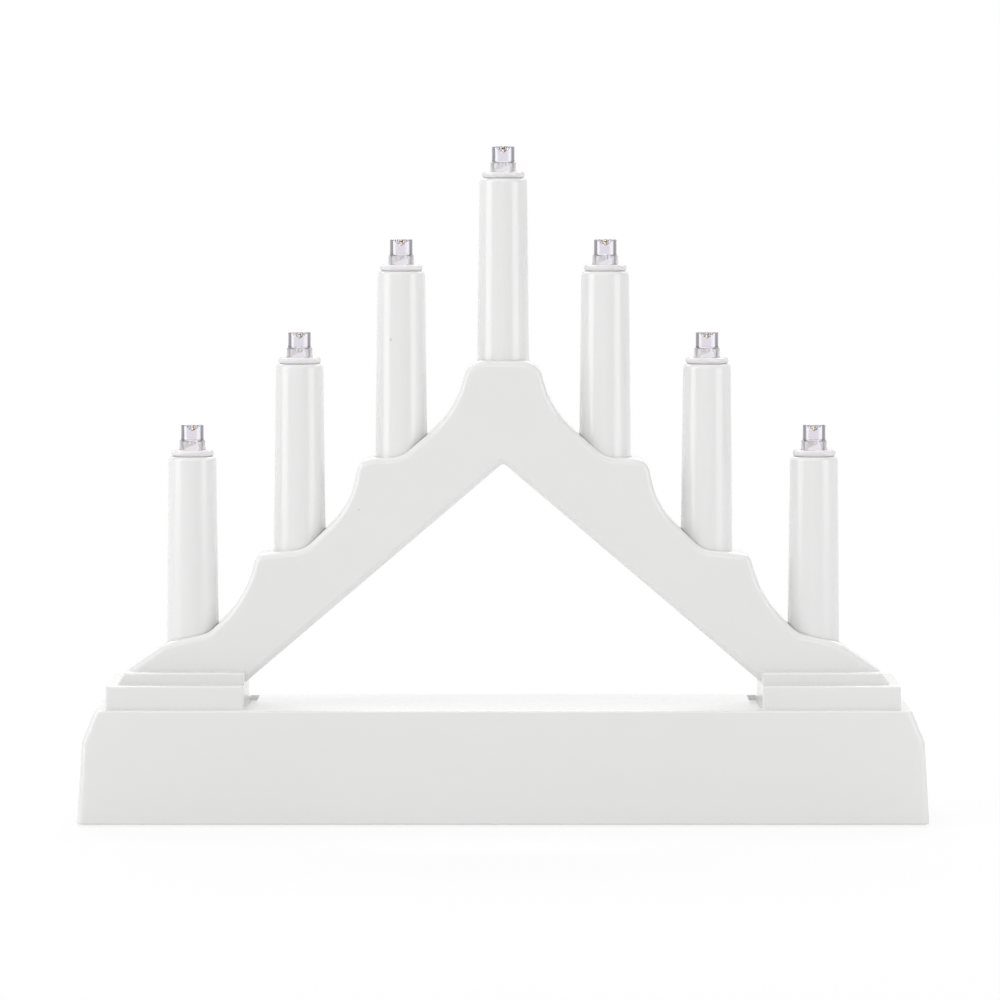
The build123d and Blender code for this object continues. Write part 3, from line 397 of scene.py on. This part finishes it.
finishes = {
    "base_housing": white_housing,
    "bottom_plate": white_housing,
    "battery_door": white_housing,
    "arch_front_shell": white_housing,
    "arch_rear_shell": white_housing,
    "foot_pads": pad_rubber,
    "plate_screws": zinc_screw,
    "door_screws": zinc_screw,
    "board_screws": zinc_screw,
    "battery_front": cell_jacket("battery_front", 1),
    "battery_rear": cell_jacket("battery_rear", -1),
    "positive_contact": nickel_contact,
    "negative_contact": nickel_contact,
    "bridge_contact": nickel_contact,
    "circuit_board": board_green,
    "board_parts": chip_black,
    "switch_body": switch_tin,
    "switch_knob": knob_black,
    "positive_wire": wire_red,
    "negative_wire": wire_black,
    "battery_wires": wire_red,
}
for number in range(1, CANDLE_COUNT + 1):
    finishes[f"candle_tube_{number}"] = white_candle
    finishes[f"led_collar_{number}"] = clear_collar
    finishes[f"led_leads_{number}"] = tinned_lead
    finishes[f"led_chip_{number}"] = phosphor_gel
for node_name, finish_material in finishes.items():
    for slot in nodes[node_name].material_slots:
        slot.material = finish_material


def add_object(name, data):
    made = bpy.data.objects.new(name, data)
    bpy.context.scene.collection.objects.link(made)
    return made


# ----------------------------------------------------------------------------
# LED lenses: one closed, polished body each, cast round the lead frame
# ----------------------------------------------------------------------------
LENS_RADIUS = 2.5 * MM
LENS_HEIGHT = 5.5 * MM
FOOT_RADIUS = 2.825 * MM
FOOT_HEIGHT = 2.0 * MM
FOOT_SLOPE = 0.15 * MM
CONE_RADIUS = 1.8 * MM
CONE_DEPTH = 1.5 * MM
STRAIGHT_END = 0.6 * MM  # a ring this far from the wall's end keeps the wall's shading straight
LENS_SEGMENTS = 72
CONTACT_GAP = 0.01 * MM  # keeps the lens clear of the collar that it stands on
SAME_PLACE = 0.001 * MM  # points closer than this are one point
SHARP_ANGLE = math.radians(50)
LENS_PAINTED_BANDS = 0.95  # how much of the painted reflection bands the lens's wall has
# how much of the painted reflection bands the lens's foot has
FOOT_PAINTED_BANDS = 0.7
WALL_MARGIN = 0.15 * MM  # the painted reflection bands start this far outside the cone's rim

# (height, radius, width, segments) of each rounded edge
ROUNDINGS = (
    (LENS_HEIGHT, LENS_RADIUS, 0.38 * MM, 5),
    (LENS_HEIGHT, CONE_RADIUS, 0.12 * MM, 3),
    (FOOT_HEIGHT - FOOT_SLOPE, FOOT_RADIUS, 0.12 * MM, 3),
    (FOOT_HEIGHT + FOOT_SLOPE, LENS_RADIUS, 0.15 * MM, 3),
    (CONTACT_GAP, FOOT_RADIUS, 0.1 * MM, 2),
)


def cone_point(share):
    """A point of the profile on the cone's slope, at a share of the cone's radius."""
    return (share * CONE_RADIUS, LENS_HEIGHT - (1 - share) * CONE_DEPTH)


def turned_lens():
    """A flanged cylinder with a hollow cone in its flat top, with sharp edges.

    The rings on the cone near its rim and its tip keep the slope between them straight in shading.
    """
    profile = [
        (0, CONTACT_GAP),
        (FOOT_RADIUS, CONTACT_GAP),
        (FOOT_RADIUS, FOOT_HEIGHT - FOOT_SLOPE),
        (LENS_RADIUS, FOOT_HEIGHT + FOOT_SLOPE),
        (LENS_RADIUS, FOOT_HEIGHT + STRAIGHT_END),
        (LENS_RADIUS, LENS_HEIGHT - STRAIGHT_END),
        (LENS_RADIUS, LENS_HEIGHT),
        cone_point(1),
        cone_point(0.9),
        cone_point(0.03),
        cone_point(0),
    ]
    shape = bmesh.new()
    points = [shape.verts.new((radius, 0, height)) for radius, height in profile]
    edges = [shape.edges.new(pair) for pair in zip(points, points[1:])]
    bmesh.ops.spin(
        shape,
        geom=points + edges,
        cent=(0, 0, 0),
        axis=(0, 0, 1),
        angle=2 * math.pi,
        steps=LENS_SEGMENTS,
        use_merge=True,
    )
    bmesh.ops.remove_doubles(shape, verts=shape.verts[:], dist=SAME_PLACE)
    return shape


def is_at(point, height, radius):
    return abs(point.co.z - height) < SAME_PLACE and abs(point.co.xy.length - radius) < SAME_PLACE


def round_ring(shape, height, radius, width, segments):
    """Rounds the edge that runs round the lens at a height and radius."""
    ring = [edge for edge in shape.edges if all(is_at(end, height, radius) for end in edge.verts)]
    bmesh.ops.bevel(
        shape,
        geom=ring,
        offset=width,
        offset_type="OFFSET",
        segments=segments,
        profile=0.5,
        affect="EDGES",
        material=-1,
        clamp_overlap=True,
    )


def mark_painted_bands(shape):
    """Stores how much of the painted reflection bands the resin has at each point, which the lamp resin
    reads.
    """
    wall = shape.verts.layers.float.new("wall")
    for point in shape.verts:
        outside = point.co.xy.length > CONE_RADIUS + WALL_MARGIN
        band_share = FOOT_PAINTED_BANDS if point.co.z < FOOT_HEIGHT else LENS_PAINTED_BANDS
        point[wall] = band_share if outside else 0.0


def add_lens(number):
    """The lens of one LED, in the place of its CAD node."""
    low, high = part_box(f"led_{number}")
    axis = Vector(((low.x + high.x) / 2, (low.y + high.y) / 2, low.z))
    shape = turned_lens()
    for rounding in ROUNDINGS:
        round_ring(shape, *rounding)
    bmesh.ops.recalc_face_normals(shape, faces=shape.faces[:])
    mark_painted_bands(shape)
    bmesh.ops.translate(shape, verts=shape.verts[:], vec=axis)
    mesh = bpy.data.meshes.new(f"lens {number}")
    shape.to_mesh(mesh)
    shape.free()
    for face in mesh.polygons:
        face.use_smooth = True
    mesh.set_sharp_from_angle(angle=SHARP_ANGLE)
    mesh.materials.append(clear_resin)
    lens = add_object(f"led_lens_{number}", mesh)
    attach(lens, "lamp")
    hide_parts(f"led_{number}")


for number in range(1, CANDLE_COUNT + 1):
    add_lens(number)


# ----------------------------------------------------------------------------
# Floor, light and camera
# ----------------------------------------------------------------------------
FLOOR_SIZE = 6
FLOOR_GREY = 0.9
# (metres from the object's middle, share of plain white that the eye sees)
FLOOR_NEAR = (0.15, 0.84)
FLOOR_FAR = (0.8, 1.0)
WORLD_LIGHT = 0.35
LIGHT_AIM = (0, 0, 0.06)

# (name, place, size, radiance) of each softbox
SOFTBOXES = (
    ("overhead softbox", (0, -0.1, 1.3), (1.9, 1.1), 0.95),
    ("left softbox", (-1.19, -0.386, 0.5), (0.78, 1.3), 2.35),
    ("right softbox", (1.07, -0.65, 0.25), (0.7, 0.9), 2.3),
    ("front fill", (0, -2.2, 0.9), (1.6, 1.0), 1.4),
    ("rear softbox", (0, 1.1, 1.1), (1.6, 0.5), 5.0),
)

# The camera's focal length, height and pitch come from the base's edges in the picture.
FOCAL_PIXELS = 5532.0
PICTURE_PIXELS = 1000.0
SENSOR_WIDTH = 36.0
CAMERA_PLACE = (-0.7 * MM, -1203 * MM, 142.9 * MM)
CAMERA_PITCH = math.radians(3.507)  # downwards
CLIP_START = 0.05
CLIP_END = 30


def background_share(tree, share):
    """A factor that is share where the eye, a reflection or a refraction looks, and else 0.

    share is a number or the output socket of a node. 0 leaves the light on the object as it is.
    """
    path = tree.nodes.new("ShaderNodeLightPath")
    seen = path.outputs["Is Camera Ray"]
    for ray in ("Is Glossy Ray", "Is Transmission Ray"):
        highest = tree.nodes.new("ShaderNodeMath")
        highest.operation = "MAXIMUM"
        tree.links.new(seen, highest.inputs[0])
        tree.links.new(path.outputs[ray], highest.inputs[1])
        seen = highest.outputs[0]
    scaled = tree.nodes.new("ShaderNodeMath")
    scaled.operation = "MULTIPLY"
    tree.links.new(seen, scaled.inputs[0])
    if isinstance(share, (int, float)):
        scaled.inputs[1].default_value = share
    else:
        tree.links.new(share, scaled.inputs[1])
    return scaled.outputs[0]


def share_by_distance(tree, near, far):
    """A share that grows outwards over the floor, with near and far as (metres, share)."""
    place = tree.nodes.new("ShaderNodeTexCoord")
    distance = tree.nodes.new("ShaderNodeVectorMath")
    distance.operation = "LENGTH"
    tree.links.new(place.outputs["Object"], distance.inputs[0])
    share = tree.nodes.new("ShaderNodeMapRange")
    share.interpolation_type = "SMOOTHSTEP"
    tree.links.new(distance.outputs["Value"], share.inputs["Value"])
    share.inputs["From Min"].default_value, share.inputs["To Min"].default_value = near
    share.inputs["From Max"].default_value, share.inputs["To Max"].default_value = far
    return share.outputs["Result"]


def mixed_shader(tree, factor, first, second):
    """The first shader where factor is 0, the second where it is 1."""
    mixed = tree.nodes.new("ShaderNodeMixShader")
    tree.links.new(factor, mixed.inputs[0])
    tree.links.new(first.outputs[0], mixed.inputs[1])
    tree.links.new(second.outputs[0], mixed.inputs[2])
    return mixed


def floor_material():
    """White floor that is whiter to the eye further out, and clear from below to show the underside."""
    material = bpy.data.materials.new("studio white floor")
    material.use_nodes = True
    tree = material.node_tree
    tree.nodes.clear()
    paint = tree.nodes.new("ShaderNodeBsdfDiffuse")
    paint.inputs["Color"].default_value = grey(FLOOR_GREY)
    glow = tree.nodes.new("ShaderNodeEmission")
    glow.inputs["Strength"].default_value = 1.0
    share = share_by_distance(tree, FLOOR_NEAR, FLOOR_FAR)
    upper_side = mixed_shader(tree, background_share(tree, share), paint, glow)
    side = tree.nodes.new("ShaderNodeNewGeometry")
    clear = tree.nodes.new("ShaderNodeBsdfTransparent")
    one_sided = mixed_shader(tree, side.outputs["Backfacing"], upper_side, clear)
    output = tree.nodes.new("ShaderNodeOutputMaterial")
    tree.links.new(one_sided.outputs[0], output.inputs["Surface"])
    return material


def add_floor():
    mesh = bpy.data.meshes.new("studio floor")
    shape = bmesh.new()
    bmesh.ops.create_grid(shape, x_segments=1, y_segments=1, size=FLOOR_SIZE)
    shape.to_mesh(mesh)
    shape.free()
    mesh.materials.append(floor_material())
    floor = add_object("studio_floor", mesh)


def add_world():
    """Even light on the object, in front of a white background."""
    world = bpy.data.worlds.new("studio")
    bpy.context.scene.world = world
    world.use_nodes = True
    tree = world.node_tree
    tree.nodes.clear()
    ambient = tree.nodes.new("ShaderNodeBackground")
    ambient.inputs["Color"].default_value = grey(1)
    ambient.inputs["Strength"].default_value = WORLD_LIGHT
    white = tree.nodes.new("ShaderNodeBackground")
    white.inputs["Color"].default_value = grey(1)
    white.inputs["Strength"].default_value = 1.0
    mixed = mixed_shader(tree, background_share(tree, 1.0), ambient, white)
    output = tree.nodes.new("ShaderNodeOutputWorld")
    tree.links.new(mixed.outputs[0], output.inputs["Surface"])


def add_softbox(name, place, size, radiance):
    """A rectangular lamp aimed at the arch. Its face has the given radiance, with 1 as white."""
    lamp = bpy.data.lights.new(name, "AREA")
    lamp.shape = "RECTANGLE"
    lamp.size, lamp.size_y = size
    lamp.energy = radiance * math.pi * size[0] * size[1]
    box = add_object(name, lamp)
    box.location = place
    box.rotation_euler = (Vector(LIGHT_AIM) - Vector(place)).to_track_quat("-Z", "Y").to_euler()


def add_camera():
    lens = bpy.data.cameras.new("camera")
    lens.sensor_width = SENSOR_WIDTH
    lens.lens = FOCAL_PIXELS / PICTURE_PIXELS * SENSOR_WIDTH
    lens.clip_start, lens.clip_end = CLIP_START, CLIP_END
    camera = add_object("camera", lens)
    camera.location = CAMERA_PLACE
    camera.rotation_euler = (math.radians(90) - CAMERA_PITCH, 0, 0)
    bpy.context.scene.camera = camera


add_floor()
add_world()
for softbox in SOFTBOXES:
    add_softbox(*softbox)
add_camera()
bpy.context.scene.view_settings.view_transform = "Standard"
